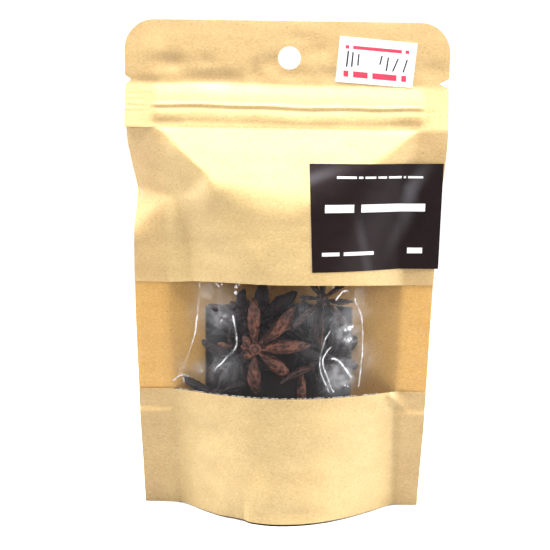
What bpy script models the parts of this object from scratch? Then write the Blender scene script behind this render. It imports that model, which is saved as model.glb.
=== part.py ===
"""Stand-up kraft pouch with a clear window band and a heap of star anise inside.

The front sheet is kraft above and below a film band that runs from one side edge
to the other. Front and back are sealed to each other along flat fins at both sides
and over the whole header, and they bow apart between the fins. A gusset folded
like a tent closes the bottom, and its two skirts are what the pouch stands on.

Heights are measured up from the surface it stands on, x runs left to right seen
from the front, and the front looks along -Y. Sizes are in millimetres until the
last step, which turns them into metres.
"""
import math

import bmesh
import bpy
from mathutils import Matrix, Vector

MM = 0.001
GAP = 0.3                    # clear space between pieces that touch

# Pouch
HEIGHT = 139.0
HALF_WIDTH = 45.0
SEAL_LEFT, SEAL_RIGHT = 9.0, 8.0   # widths of the flat side seals
BOW_COLUMN = 0.8             # columns further out than this lie on the side seals
SHEET = 0.5                  # thickness of one sheet of laminate
CORNER_RADIUS = 8.5
CAVITY_TOP = 108.0           # the zip closes the inside here
BOTTOM_SEAL = 6.0            # height of the seal between skirt and gusset
GUSSET_LEG = 28.8            # height of the gusset's fold on the side seals
GUSSET_STEP = 4.8            # spacing of the gusset's columns across the pouch
GUSSET_STEPS = 8             # columns of the gusset to each side of the middle
GUSSET_OPEN_STEPS = 6        # of them, those over the open space below it

# Height of a station, then the half widths to the left and to the right.
EDGES = (
    (0.0, 40.0, 40.2),
    (33.0, 41.6, 41.7),
    (61.0, 42.5, 42.4),
    (80.0, 42.7, 43.0),
    (91.0, 42.0, 43.7),
    (100.0, 43.7, 44.5),
    (108.0, 44.9, 44.9),
    (HEIGHT, HALF_WIDTH, HALF_WIDTH),
)
# Height of a station, then how far the front and the back bow out there.
BOWS = (
    (0.0, 17.3, 17.3),
    (33.0, 12.6, 12.2),
    (50.0, 11.8, 11.0),
    (66.0, 11.0, 10.2),
    (88.0, 8.9, 9.4),
    (109.7, 0.7, 0.7),
    (112.0, 0.0, 0.0),
    (HEIGHT, 0.0, 0.0),
)
BOW_FULLNESS = 0.92          # below 1, the bow is fuller than a plain cosine
# Height of a station, then how far the flat fins lie behind the middle plane.
LEANS = ((0.0, 0.0), (97.0, 0.0), (109.7, -0.5), (121.6, 2.0), (HEIGHT, 1.2))

# Dent in the left edge: it is deepest at the edge and fades out towards the middle.
DENT_DEPTH = 4.8
DENT_HEIGHTS = (78.0, 91.0, 107.0)
DENT_START_X = -22.0

# Press-to-close zip: height and thickness of each ridge, in front and behind.
ZIP_RIDGES = ((117.0, 0.7, 1.6), (112.4, 0.55, 2.2))
ZIP_END = 1.0                # the ridges stop this far inside the side seals

HOLE_X, HOLE_HEIGHT, HOLE_RADIUS = 0.6, 129.1, 3.15
NOTCH_HEIGHT, NOTCH_TALL = 122.6, 2.4
NOTCH_DEPTHS = (-1.8, 2.8)   # left and right

# Window
WINDOW_BOTTOM, WINDOW_TOP = 34.5, 66.0
FILM = 0.2

# Stickers: centre x, centre height, width, height and turn in degrees
LABEL_THICK = 0.25
FRONT_LABEL = (25.5, 85.8, 37.6, 29.8, -0.3)
PRICE_STICKER = (24.6, 128.3, 21.5, 12.2, 4.8)
BACK_LABEL = (-1.3, 36.0, 43.0, 44.0, 0.0)

# Star anise: x, y and height of the centre, reach of the arms, turn about the star's
# own axis, tilt back from upright and swing to the side (degrees).
STARS = (
    (-7.9, -5.6, 48.6, 14.8, -2.0, 4.0, 0.0),
    (-7.0, -1.2, 55.0, 12.8, 5.0, 6.0, -4.0),
    (11.7, -4.4, 62.1, 13.5, 10.0, -14.0, 18.0),
    (-12.8, -4.2, 60.6, 8.8, 4.0, 0.0, 8.0),
    (-12.2, -1.4, 44.4, 11.8, 22.0, 4.0, -8.0),
    (-18.4, -1.4, 34.4, 11.6, 23.0, 0.0, -9.0),
    (13.0, 1.0, 44.0, 11.0, 17.0, -5.0, 8.0),
    (7.3, -4.6, 29.5, 11.2, -10.0, 4.0, 6.0),
    (-9.0, 4.6, 49.0, 14.0, 12.0, 4.0, 5.0),
    (8.5, 4.4, 47.0, 14.0, 34.0, -4.0, -6.0),
)
CARPELS = 8                  # boat-shaped arms of one star
CARPEL_WIDTH, CARPEL_DEEP = 3.6, 4.6
BOSS_RADIUS = 2.6
HEAP_CENTRE, HEAP_HALF = (-0.5, -0.6, 46.5), (20.5, 5.2, 21.0)

COLUMNS = 7                  # steps from the middle of the bow to a side seal
BODY_ROWS = (0, 7, 15, 23, 31, 39, 47, 56, 66, 73, 78, 82.5, 87, 91, 95, 99, 103, 107,
             109.7, 111.0, 112.4, 114.2, 115.4, 116.2, 117.0, 118.6, 121.6)
CORNER_STEPS = 4


def along(stations, height, column):
    """Smooth value of one column of a table of stations, with no overshoot."""
    heights = [row[0] for row in stations]
    values = [row[column] for row in stations]
    rises = [(values[i + 1] - values[i]) / (heights[i + 1] - heights[i])
             for i in range(len(heights) - 1)]
    slopes = [rises[0]]
    for before, after in zip(rises, rises[1:]):
        same_way = before * after > 0.0
        slopes.append(2.0 * before * after / (before + after) if same_way else 0.0)
    slopes.append(rises[-1])
    i = 0
    while i < len(rises) - 1 and height > heights[i + 1]:
        i += 1
    span = heights[i + 1] - heights[i]
    t = min(max((height - heights[i]) / span, 0.0), 1.0)
    return ((2 * t ** 3 - 3 * t ** 2 + 1) * values[i] + (t ** 3 - 2 * t ** 2 + t) * span * slopes[i]
            + (3 * t ** 2 - 2 * t ** 3) * values[i + 1] + (t ** 3 - t ** 2) * span * slopes[i + 1])


def straight(stations, height):
    """Value read along straight lines between stations, so that the folds stay sharp."""
    for (low, low_value), (high, high_value) in zip(stations, stations[1:]):
        if height <= high:
            t = (height - low) / (high - low)
            return low_value + t * (high_value - low_value)
    return stations[-1][1]


def half_width(x, height):
    """Half width on the side that x is on, rounded off at the two top corners."""
    width = along(EDGES, height, 1 if x < 0.0 else 2)
    into_corner = height - (HEIGHT - CORNER_RADIUS)
    if into_corner > 0.0:
        width += math.sqrt(max(CORNER_RADIUS ** 2 - into_corner ** 2, 0.0)) - CORNER_RADIUS
    return width


def bow_width(x, height):
    """Half width between the side seals, on the side that x is on."""
    return half_width(x, height) - (SEAL_LEFT if x < 0.0 else SEAL_RIGHT)


def bow_share(x, height):
    """1 at the middle of the bow, 0 on the side seals."""
    share = abs(x) / bow_width(x, min(height, HEIGHT - CORNER_RADIUS))
    return math.cos(min(share, 1.0) * math.pi / 2.0) ** BOW_FULLNESS


def lean(x, height):
    """How far the fins lie behind the middle plane, with the dent in the left edge."""
    low, middle, high = DENT_HEIGHTS
    tall = (height - low) / (middle - low) if height < middle else (high - height) / (high - middle)
    across = (DENT_START_X - x) / (HALF_WIDTH + DENT_START_X)
    dent = DENT_DEPTH * max(tall, 0.0) * min(max(across, 0.0), 1.0)
    return straight(LEANS, height) + dent


def zip_relief(x, height):
    """Thickness that the zip's ridges add to the sheet."""
    inside = bow_width(x, height) - ZIP_END - abs(x)
    if inside < 0.0:
        return 0.0
    return sum(thick * max(1.0 - abs(height - level) / reach, 0.0)
               for level, thick, reach in ZIP_RIDGES)


def front(x, height, out=0.0):
    """Place on the front face, or that far out from it."""
    bow = along(BOWS, height, 1) * bow_share(x, height)
    return lean(x, height) - bow - SHEET - zip_relief(x, height) - out


def back(x, height, out=0.0):
    """Place on the back face, or that far out from it."""
    bow = along(BOWS, height, 2) * bow_share(x, height)
    return lean(x, height) + bow + SHEET + zip_relief(x, height) + out


def steps(count):
    """Evenly spaced values from -1 to 1."""
    return [2.0 * i / count - 1.0 for i in range(count + 1)]


def closed_sheet(name, columns, rows, place, color, roughness):
    """Closed body: a grid and its copy, each point put where place(column, row, side) says."""
    mesh = bpy.data.meshes.new(name)
    bm = bmesh.new()
    bmesh.ops.create_grid(bm, x_segments=len(columns) - 1, y_segments=len(rows) - 1, size=0.5)
    for vert in bm.verts:
        column = round((vert.co.x + 0.5) * (len(columns) - 1))
        row = round((vert.co.y + 0.5) * (len(rows) - 1))
        vert.co = (columns[column], rows[row], 0.0)
    copied = bmesh.ops.extrude_face_region(bm, geom=bm.faces[:])["geom"]
    for item in copied:
        if isinstance(item, bmesh.types.BMVert):
            item.co.z = 1.0
    for vert in bm.verts:
        vert.co = Vector(place(*vert.co)) * MM
    # Split alike, so that two bent faces a wall apart can't cross.
    bmesh.ops.triangulate(bm, faces=bm.faces[:], quad_method="FIXED")
    bmesh.ops.recalc_face_normals(bm, faces=bm.faces[:])
    bm.to_mesh(mesh)
    bm.free()
    return add_object(name, mesh, color, roughness)


def add_object(name, mesh, color, roughness):
    """Object with its own material, at the origin."""
    material = bpy.data.materials.new(name + "_material")
    material.use_nodes = True
    shader = material.node_tree.nodes["Principled BSDF"]
    shader.inputs["Base Color"].default_value = (*color, 1.0)
    shader.inputs["Roughness"].default_value = roughness
    shader.inputs["Metallic"].default_value = 0.0
    mesh.materials.append(material)
    obj = bpy.data.objects.new(name, mesh)
    bpy.context.scene.collection.objects.link(obj)
    return obj


def as_cutter(obj):
    """Shape that only cuts others."""
    obj.hide_render = True
    obj.display_type = "WIRE"
    return obj


def cut(target, cutter):
    """Take the cutter's shape out of the target."""
    modifier = target.modifiers.new("cut_" + cutter.name, "BOOLEAN")
    modifier.operation = "DIFFERENCE"
    modifier.object = cutter


def cutter_box(name, low, high):
    """Box between two corners, as a cutter."""
    def place(x, z, side):
        return x, high[1] if side else low[1], z
    return as_cutter(closed_sheet(name, (low[0], high[0]), (low[2], high[2]), place, (1, 1, 1), 1.0))


def pouch_columns():
    """Columns across the pouch: both fins, and even steps over the bow between them."""
    return [-1.0] + [BOW_COLUMN * step for step in steps(2 * COLUMNS)] + [1.0]


def across(column, height):
    """x of a column, which keeps the seals at their width at every height."""
    inner = bow_width(column, height)
    if abs(column) <= BOW_COLUMN:
        return column / BOW_COLUMN * inner
    beyond = (abs(column) - BOW_COLUMN) / (1.0 - BOW_COLUMN)
    return math.copysign(inner + beyond * (half_width(column, height) - inner), column)


def tent(name, reach_steps, lower):
    """Solid below the gusset, or below its underside when lowered by its thickness."""
    def place(column, row, side):
        x = column * reach_steps * GUSSET_STEP
        spread = along(BOWS, 0.0, 1) * bow_share(x, 0.0)
        top = math.sqrt(GUSSET_LEG ** 2 - spread ** 2) - lower
        half_depth = max(spread + GAP - lower, GAP)
        y = row * half_depth
        if side:
            return x, y, -5.0
        return x, y, top if row == 0.0 else 0.0
    return as_cutter(closed_sheet(name, steps(2 * reach_steps), (-1.0, 0.0, 1.0), place, (1, 1, 1), 1.0))


def make_pouch():
    """Kraft sheets with gusset, header, zip ridges, window band, hang hole and notches."""
    corner_rows = [HEIGHT - CORNER_RADIUS * (1.0 - math.sin(math.pi / 2.0 * i / CORNER_STEPS))
                   for i in range(CORNER_STEPS + 1)]

    def outside(column, height, side):
        x = across(column, height)
        return x, back(x, height) if side else front(x, height), height

    pouch = closed_sheet("pouch", pouch_columns(), list(BODY_ROWS) + corner_rows, outside,
                         (0.72, 0.50, 0.25), 0.85)

    cavity_rows = [BOTTOM_SEAL] + [row for row in BODY_ROWS if BOTTOM_SEAL < row < CAVITY_TOP] + [CAVITY_TOP]

    def inside(column, height, side):
        x = column * bow_width(column, height)
        thin = 0.1
        middle = lean(x, height)
        if side:
            return x, max(back(x, height, -SHEET), middle + thin), height
        return x, min(front(x, height, -SHEET), middle - thin), height

    cavity = as_cutter(closed_sheet("cavity", steps(2 * COLUMNS), cavity_rows, inside, (1, 1, 1), 1.0))
    cut(cavity, tent("gusset_above", GUSSET_STEPS, 0.0))
    cut(pouch, cavity)
    cut(pouch, tent("gusset_below", GUSSET_OPEN_STEPS, SHEET + GAP))
    far = 2.0 * HALF_WIDTH
    cut(pouch, cutter_box("window_cut", (-far, -far, WINDOW_BOTTOM), (far, 0.0, WINDOW_TOP)))
    for tool in punches():
        cut(pouch, tool)
    return pouch


def punches():
    """Cutters for the round hang hole and the two tear notches."""
    hole_mesh = bpy.data.meshes.new("hang_hole")
    bm = bmesh.new()
    place = Matrix.Translation(Vector((HOLE_X, 0.0, HOLE_HEIGHT)) * MM)
    bmesh.ops.create_cone(bm, cap_ends=True, segments=24, radius1=HOLE_RADIUS * MM,
                          radius2=HOLE_RADIUS * MM, depth=12.0 * MM,
                          matrix=place @ Matrix.Rotation(math.pi / 2.0, 4, "X"))
    bm.to_mesh(hole_mesh)
    bm.free()
    tools = [as_cutter(add_object("hang_hole", hole_mesh, (1, 1, 1), 1.0))]
    for number, depth in enumerate(NOTCH_DEPTHS):
        def wedge(column, row, side, depth=depth):
            edge = math.copysign(HALF_WIDTH, depth)
            inner = edge - depth
            outer = edge + depth
            x = inner if column == 0.0 else outer
            tall = NOTCH_TALL * (0.06 if column == 0.0 else 1.0)
            return x, 6.0 * (2.0 * side - 1.0), NOTCH_HEIGHT + row * tall
        tools.append(as_cutter(closed_sheet("notch_%d" % number, (0.0, 1.0), (-1.0, 1.0), wedge,
                                            (1, 1, 1), 1.0)))
    return tools


def make_film():
    """Clear film band in the front sheet, from one side edge to the other."""
    def place(column, height, side):
        x = across(column, height)
        return x, front(x, height, -FILM if side else 0.0), height

    rows = [WINDOW_BOTTOM + GAP + (WINDOW_TOP - WINDOW_BOTTOM - 2.0 * GAP) * i / 5.0 for i in range(6)]
    return closed_sheet("window_film", pouch_columns(), rows, place, (0.85, 0.85, 0.83), 0.1)


def make_sticker(name, sizes, face, color, roughness):
    """Thin sticker that follows the face it is stuck on, a hair above it."""
    centre_x, centre_height, width, tall, turn = sizes
    c, s = math.cos(math.radians(turn)), math.sin(math.radians(turn))

    def place(column, row, side):
        a, b = column * width / 2.0, row * tall / 2.0
        x = centre_x + a * c + b * s
        height = centre_height - a * s + b * c
        return x, face(x, height, GAP + (LABEL_THICK if side else 0.0)), height

    return closed_sheet(name, steps(10), steps(6), place, color, roughness)


def star_tools(place, reach, tools):
    """One star of boat-shaped carpels round a boss, as loose closed shapes."""
    for i in range(CARPELS + 1):
        bm = bmesh.new()
        if i == CARPELS:
            bmesh.ops.create_uvsphere(bm, u_segments=6, v_segments=4, radius=BOSS_RADIUS * MM, matrix=place)
        else:
            length = reach * (0.86 + 0.14 * math.cos(2.3 * i + reach))
            boat = (Matrix.Rotation(2.0 * math.pi * i / CARPELS, 4, "Y")
                    @ Matrix.Translation(Vector((length * 0.52, 0.0, 0.0)) * MM)
                    @ Matrix.Diagonal((length * 0.48, CARPEL_DEEP / 2.0, CARPEL_WIDTH / 2.0, 1.0))
                    @ Matrix.Rotation(math.pi / 2.0, 4, "Y"))
            bmesh.ops.create_uvsphere(bm, u_segments=6, v_segments=4, radius=MM, matrix=place @ boat)
        mesh = bpy.data.meshes.new("carpel")
        bm.to_mesh(mesh)
        bm.free()
        obj = bpy.data.objects.new("carpel", mesh)
        tools.objects.link(obj)


def keep_outer_shell(mesh):
    """Fill the hollows that fusing sealed and drop loose scraps: one shell is left."""
    bm = bmesh.new()
    bm.from_mesh(mesh)
    bmesh.ops.remove_doubles(bm, verts=bm.verts[:], dist=0.001 * MM)
    unseen = set(bm.faces)
    shells = []
    while unseen:
        shell = set()
        to_visit = [unseen.pop()]
        while to_visit:
            face = to_visit.pop()
            shell.add(face)
            near = {other for edge in face.edges for other in edge.link_faces} & unseen
            unseen -= near
            to_visit.extend(near)
        shells.append(shell)
    largest = max(shells, key=len)
    spare = [face for shell in shells if shell is not largest for face in shell]
    bmesh.ops.delete(bm, geom=spare, context="FACES")
    bm.to_mesh(mesh)
    bm.free()


def make_heap():
    """Star anise: a core with the stars that show fused on to it."""
    mesh = bpy.data.meshes.new("star_anise")
    bm = bmesh.new()
    core = Matrix.Translation(Vector(HEAP_CENTRE) * MM) @ Matrix.Diagonal((*HEAP_HALF, 1.0))
    bmesh.ops.create_uvsphere(bm, u_segments=14, v_segments=8, radius=MM, matrix=core)
    bm.to_mesh(mesh)
    bm.free()
    heap = add_object("star_anise", mesh, (0.16, 0.065, 0.035), 0.7)

    tools = bpy.data.collections.new("stars")
    bpy.context.scene.collection.children.link(tools)
    for x, y, height, reach, spin, tilt, swing in STARS:
        place = (Matrix.Translation(Vector((x, y, height)) * MM)
                 @ Matrix.Rotation(math.radians(swing), 4, "Z")
                 @ Matrix.Rotation(math.radians(tilt), 4, "X")
                 @ Matrix.Rotation(math.radians(spin), 4, "Y"))
        star_tools(place, reach, tools)
    union = heap.modifiers.new("fuse", "BOOLEAN")
    union.operation = "UNION"
    union.operand_type = "COLLECTION"
    union.collection = tools
    union.solver = "MANIFOLD"
    fused = bpy.data.meshes.new_from_object(heap.evaluated_get(bpy.context.evaluated_depsgraph_get()))
    heap.modifiers.clear()
    keep_outer_shell(fused)
    heap.data = fused
    for obj in list(tools.objects):
        bpy.data.objects.remove(obj)
    bpy.data.collections.remove(tools)
    return heap


for old in list(bpy.data.objects):
    bpy.data.objects.remove(old)
make_pouch()
make_film()
make_heap()
make_sticker("front_label", FRONT_LABEL, front, (0.02, 0.018, 0.02), 0.35)
make_sticker("price_sticker", PRICE_STICKER, front, (0.9, 0.9, 0.9), 0.5)
make_sticker("back_label", BACK_LABEL, back, (0.02, 0.018, 0.02), 0.35)
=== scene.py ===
"""Looks of the stand-up kraft pouch of star anise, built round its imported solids.

Sizes are in millimetres. x runs left to right seen from the front, h is the height above
the surface that the pouch stands on, and "out" is how far a point lies towards the viewer
in front of the flat side seals' middle plane. Only where a point is put into a mesh does
it become metres in the frame, with the front looking along -Y.
"""
import functools
import math

import bmesh
import bpy
from mathutils import Matrix, Vector, noise


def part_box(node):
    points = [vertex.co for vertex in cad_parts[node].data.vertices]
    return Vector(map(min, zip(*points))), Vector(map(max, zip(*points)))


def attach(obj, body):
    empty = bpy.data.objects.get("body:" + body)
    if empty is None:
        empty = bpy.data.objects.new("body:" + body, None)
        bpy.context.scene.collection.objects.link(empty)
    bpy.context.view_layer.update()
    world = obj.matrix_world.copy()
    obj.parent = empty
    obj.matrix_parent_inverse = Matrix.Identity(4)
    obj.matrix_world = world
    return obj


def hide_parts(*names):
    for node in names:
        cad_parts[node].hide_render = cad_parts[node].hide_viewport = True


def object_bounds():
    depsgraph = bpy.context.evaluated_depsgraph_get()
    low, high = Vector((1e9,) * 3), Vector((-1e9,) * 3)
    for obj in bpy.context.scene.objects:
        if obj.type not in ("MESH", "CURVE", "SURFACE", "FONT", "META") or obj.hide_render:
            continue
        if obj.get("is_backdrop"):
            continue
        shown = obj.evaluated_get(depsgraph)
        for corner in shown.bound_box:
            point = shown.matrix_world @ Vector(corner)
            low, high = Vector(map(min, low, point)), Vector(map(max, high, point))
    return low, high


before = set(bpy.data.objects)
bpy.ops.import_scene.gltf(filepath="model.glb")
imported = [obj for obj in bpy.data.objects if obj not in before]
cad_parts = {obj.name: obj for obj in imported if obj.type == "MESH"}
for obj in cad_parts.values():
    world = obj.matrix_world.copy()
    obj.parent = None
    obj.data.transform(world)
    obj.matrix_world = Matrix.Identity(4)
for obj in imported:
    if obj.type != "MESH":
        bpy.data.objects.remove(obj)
cad_low, cad_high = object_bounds()

# ---------------------------------------------------------------------------
# Front sheet, above and below the window. Brown kraft paper of about 0.2 mm with a
# sealing film inside, heat-sealed to the back sheet along both sides and the header.
# Between the seals it bows out, and it keeps the creases and dents of handling.

MM = 0.001
SHEET = 0.22
HEIGHT = cad_high.z / MM
HALF_WIDTH = cad_high.x / MM
CORNER_RADIUS = 8.5
WINDOW_GAP = 0.3             # the solids leave this between film and kraft
WINDOW_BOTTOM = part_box("window_film")[0].z / MM - WINDOW_GAP
WINDOW_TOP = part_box("window_film")[1].z / MM + WINDOW_GAP

# Height, then how far out the edge is there, and how wide the flat seal inside it is.
LEFT_EDGE = ((0, 40.0), (33, 41.6), (61, 42.5), (80, 42.7), (91, 42.0), (100, 43.7), (108, 44.9),
             (HEIGHT, HALF_WIDTH))
RIGHT_EDGE = ((0, 40.2), (33, 41.7), (61, 42.4), (80, 43.0), (91, 43.7), (100, 44.5), (108, 44.9),
              (HEIGHT, HALF_WIDTH))
LEFT_SEAL = ((0, 10.4), (30, 10.8), (50, 9.8), (110, 9.0), (HEIGHT, 9.0))
RIGHT_SEAL = ((0, 7.2), (33, 8.6), (66, 8.4), (110, 8.0), (HEIGHT, 8.0))
NOTCH_HEIGHT, NOTCH_HALF_TALL = 122.6, 1.3
NOTCH_LEFT, NOTCH_RIGHT = 1.8, 2.8
HANG_HOLE = (0.6, 129.1, 3.15)       # x, h and radius

# Height, then how far each sheet bows out at its middle.
FRONT_BOW = ((0, 17.5), (16, 14.6), (33, 12.6), (50, 11.8), (66, 11.0), (88, 8.9), (110, 8.6))
BACK_BOW = ((0, 17.1), (33, 12.2), (50, 11.0), (66, 10.2), (88, 9.4), (109.7, 0.7), (112, 0), (HEIGHT, 0))
BOW_FULLNESS = 0.9           # below 1 the bow is fuller than a plain cosine
BOW_FOOT = 0.08              # how softly the bow rises from the side seals
# The header is bent back along one line and forward again along the zip: the height of
# both, and how far out the side seals lie at each height.
HEADER_BEND, ZIP_FOLD = 121.7, 109.7
FIN_LINE = ((0, 0), (97, 0), (ZIP_FOLD, 0.6), (HEADER_BEND, -2.2), (HEIGHT, -1.4))
FIN_BEND = 0.6               # half of the height over which a side seal bends
SHOULDER_SLOPE = 0.40        # below the zip the sheet leans out by this much per mm
SHOULDER_SOFT = 1.6          # how softly the shoulder runs into the bow
# A bowed sheet is drawn up from the flat seals by this much at its middle.
LIFT = ((0, 0.6), (35, 1.0), (66, 1.5), (100, 0.3), (110, 0), (HEIGHT, 0))


def along(stations, at):
    """Smooth value between (place, value) stations, with no overshoot."""
    places = [station[0] for station in stations]
    values = [station[1] for station in stations]
    rises = [(values[i + 1] - values[i]) / (places[i + 1] - places[i]) for i in range(len(places) - 1)]
    slopes = [rises[0]]
    for before, after in zip(rises, rises[1:]):
        slopes.append(2 * before * after / (before + after) if before * after > 0 else 0.0)
    slopes.append(rises[-1])
    i = 0
    while i < len(rises) - 1 and at > places[i + 1]:
        i += 1
    span = places[i + 1] - places[i]
    t = min(max((at - places[i]) / span, 0.0), 1.0)
    return ((2 * t ** 3 - 3 * t ** 2 + 1) * values[i] + (t ** 3 - 2 * t ** 2 + t) * span * slopes[i]
            + (3 * t ** 2 - 2 * t ** 3) * values[i + 1] + (t ** 3 - t ** 2) * span * slopes[i + 1])


def straight(stations, at):
    """Value read along straight lines between (place, value) stations."""
    for (low, low_value), (high, high_value) in zip(stations, stations[1:]):
        if at <= high:
            return low_value + (at - low) / (high - low) * (high_value - low_value)
    return stations[-1][1]


def ease(t):
    """0 to 1 in a soft S, held at the ends."""
    t = min(max(t, 0.0), 1.0)
    return t * t * (3 - 2 * t)


def smooth_min(a, b, soft):
    """The lower of two values, rounded off where they cross."""
    near = max(soft - abs(a - b), 0.0) / soft
    return min(a, b) - near * near * soft / 4


def half_width(x, h):
    """Half width on the side of x, with rounded top corners and the tear notches."""
    width = along(LEFT_EDGE if x < 0 else RIGHT_EDGE, h)
    into_corner = h - (HEIGHT - CORNER_RADIUS)
    if into_corner > 0:
        width += math.sqrt(max(CORNER_RADIUS ** 2 - into_corner ** 2, 0.0)) - CORNER_RADIUS
    notch = max(1 - abs(h - NOTCH_HEIGHT) / NOTCH_HALF_TALL, 0.0)
    return width - notch * (NOTCH_LEFT if x < 0 else NOTCH_RIGHT)


@functools.lru_cache(maxsize=None)
def bow_width(x, h):
    """Half width between the side seals, on the side of x."""
    if x < 0:
        return along(LEFT_EDGE, h) - along(LEFT_SEAL, h)
    return along(RIGHT_EDGE, h) - along(RIGHT_SEAL, h)


def bow_share(x, h):
    """1 at the middle of the bow, 0 on the side seals."""
    share = min(abs(x) / bow_width(x, h), 1.0)
    bow = max(math.cos(share * math.pi / 2), 0.0) ** BOW_FULLNESS
    return bow * bow / (bow + BOW_FOOT) * (1 + BOW_FOOT)


def fin_line(h):
    """Middle plane of the side seals, with its bends rounded."""
    return sum(straight(FIN_LINE, h + step * FIN_BEND) for step in (-1, 0, 1)) / 3


# Zip ridges pressed through the sheet: height, then how far the sheet stands out. They
# wander up and down in waves: height of each, radians per mm, and where it starts.
ZIP_RELIEF = ((ZIP_FOLD, 0), (110.6, 0.04), (112.5, 0.38), (113.5, 0.46), (114.3, 0.42), (114.8, 0.34),
              (115.9, 0.70), (116.6, 0.52), (117.2, 0.50), (118.2, 0.46), (HEADER_BEND, 0))
ZIP_WAVES = ((0.16, 0.11, 0.8), (0.10, 0.31, 0.0))
ZIP_TILT = 0.006             # the ridges rise by this much per mm to the right
ZIP_PAST_BOW, ZIP_END_FADE = 1.6, 1.2    # they end this far past the bow, fading out over this


def zip_relief(x, h):
    """How far the zip's two ridges stand out, ending just inside the side seals."""
    inside = (bow_width(x, h) + ZIP_PAST_BOW - abs(x)) / ZIP_END_FADE
    if inside <= 0 or not ZIP_FOLD < h < HEADER_BEND:
        return 0.0
    wave = ZIP_TILT * x + sum(tall * math.sin(turn * x + start) for tall, turn, start in ZIP_WAVES)
    waved = min(max(h + wave * ease((h - ZIP_FOLD) / 2), ZIP_FOLD), HEADER_BEND)
    return along(ZIP_RELIEF, waved) * ease(inside)


# The corner pushed in at the left. Its floor leans back below the zip, then forward to the
# level of the seal, and its wall rises steeply to the bow from a crease with a peak and a pit.
PEAK = (-22.2, 97.6)
PEAK_RISE, PEAK_REACH = 2.2, 9.0
FLOOR_TOP = (-37.0, ZIP_FOLD, 0.6)
FLOOR_ACROSS, FLOOR_UP = 0.466, 0.17
PATCH_START = (-29.1, 90.2, 0.97)
PATCH_ACROSS, PATCH_UP = 0.377, -0.36
# Height, then x and depth of the crease, and how steep the wall is.
CREASE_X = ((52, -25.0), (60, -25.2), (67, -25.5), (75, -26.2), (90.2, -29.1), (97.6, -22.2), (HEIGHT, 16.4))
CREASE_OUT = ((52, 5.0), (60, 2.5), (67, 1.1), (78, 0.4), (90.2, 0.97), (97.6, 5.44), (HEIGHT, 30.4))
WALL_STEEP = ((52, 0.4), (67, 0.5), (90.2, 0.66), (HEIGHT, 0.66))
LEVEL_BELOW = 78             # below this height the floor is level with the crease
LEAST_OUT = 0.3              # the floor comes no nearer to the back sheet
FACET_SOFT, LEVEL_SOFT = 0.3, 1.2    # how softly the facets run into each other
# How far it reaches to the right and down, the height over which it dies out there, and how
# softly it runs into the bow: at its peak, more for each mm below, and at most.
PUSHED_RIGHT, PUSHED_LOW, PUSHED_FADE = 4, 52, 8
PUSHED_SOFT, SOFTER_BELOW, SOFTEST = 0.35, 0.08, 2.0


def plane(x, h, through, by_x, by_h):
    """Flat facet through a point, given how it rises across and up."""
    return through[2] + by_x * (x - through[0]) + by_h * (h - through[1])


def pushed_in(x, h):
    """Surface of the pushed-in corner: floor and wall."""
    level = max(straight(CREASE_OUT, h) - LEAST_OUT / 2, LEAST_OUT) if h < LEVEL_BELOW else LEAST_OUT
    upper = plane(x, h, FLOOR_TOP, FLOOR_ACROSS, FLOOR_UP)
    lower = smooth_min(plane(x, h, PATCH_START, PATCH_ACROSS, PATCH_UP), level, LEVEL_SOFT)
    floor = -smooth_min(-upper, -lower, FACET_SOFT)
    wall = straight(CREASE_OUT, h) + along(WALL_STEEP, h) * (x - straight(CREASE_X, h))
    return -smooth_min(-floor, -wall, FACET_SOFT)


# Soft dents of handling: x, h, reach across, reach up, depth (below 0 it bulges out).
DENTS = (
    (-32.0, 127.5, 3.6, 2.0, 0.70),
    (-22.5, 127.9, 2.2, 1.5, 0.28),
    (-21.5, 123.3, 7.5, 1.7, 0.62),
    (-17.0, 123.8, 2.6, 1.7, 0.36),
    (-8.9, 124.8, 2.4, 3.2, 0.52),
    (-4.5, 127.5, 2.8, 2.2, 0.46),
    (2.0, 124.6, 5.4, 1.5, 0.20),
    (-39.0, 122.4, 4.2, 1.3, 0.32),
    (-38.0, 131.5, 3.0, 4.0, -0.20),
    (9.0, 131.2, 3.4, 2.4, 0.30),
    (3.4, 134.4, 4.0, 1.6, 0.12),
    (12.0, 124.6, 3.0, 2.0, 0.30),
    (40.2, 126.0, 3.2, 2.8, 0.34),
    (-34.0, 110.9, 4.5, 1.5, 0.26),
    (33.0, 110.9, 4.5, 1.6, 0.32),
    (-30.6, 84.6, 3.0, 5.2, -0.70),
    (-19.8, 23.6, 4.5, 3.0, 0.50),
    (-12.6, -0.5, 3.2, 5.0, 1.10),
    (-6.5, 17.0, 3.0, 5.0, 0.35),
    (12.0, 26.0, 5.0, 5.0, -0.30),
    (4.0, 3.0, 9.0, 2.4, 0.25),
    (-37.0, 17.0, 5.5, 7.0, 0.70),
    (-36.4, 0.5, 3.4, 5.0, 0.50),
)
# Creases: the ends of the line, its half width, and depth at its ends (below 0, a ridge).
CREASES = (
    ((-36.4, 124.4), (-38.2, 121.6), 0.7, -0.30, -0.15),
    ((-10.6, -1.0), (-10.0, 8.0), 1.5, 0.52, 0.0),
    ((-8.6, 0.0), (-9.5, 8.0), 1.6, -0.12, 0.0),
    ((-31.4, 27.5), (-31.8, 12.0), 1.2, 0.40, 0.20),
    ((31.0, 33.6), (36.4, 28.6), 1.4, -0.75, -0.2),
    ((33.6, 34.4), (37.6, 32.4), 1.1, 0.60, 0.0),
    ((30.6, 30.4), (34.4, 27.6), 1.2, 0.45, 0.0),
    ((-44.2, 118.6), (-37.5, 119.0), 0.5, 0.07, 0.0),
    ((-44.4, 117.0), (-37.0, 117.6), 0.5, 0.07, 0.0),
    ((-44.4, 115.6), (-36.6, 115.2), 0.5, 0.09, 0.0),
    ((-44.2, 113.9), (-37.6, 114.2), 0.5, 0.07, 0.0),
    ((38.5, 114.6), (44.4, 114.9), 0.5, 0.06, 0.0),
)
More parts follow.
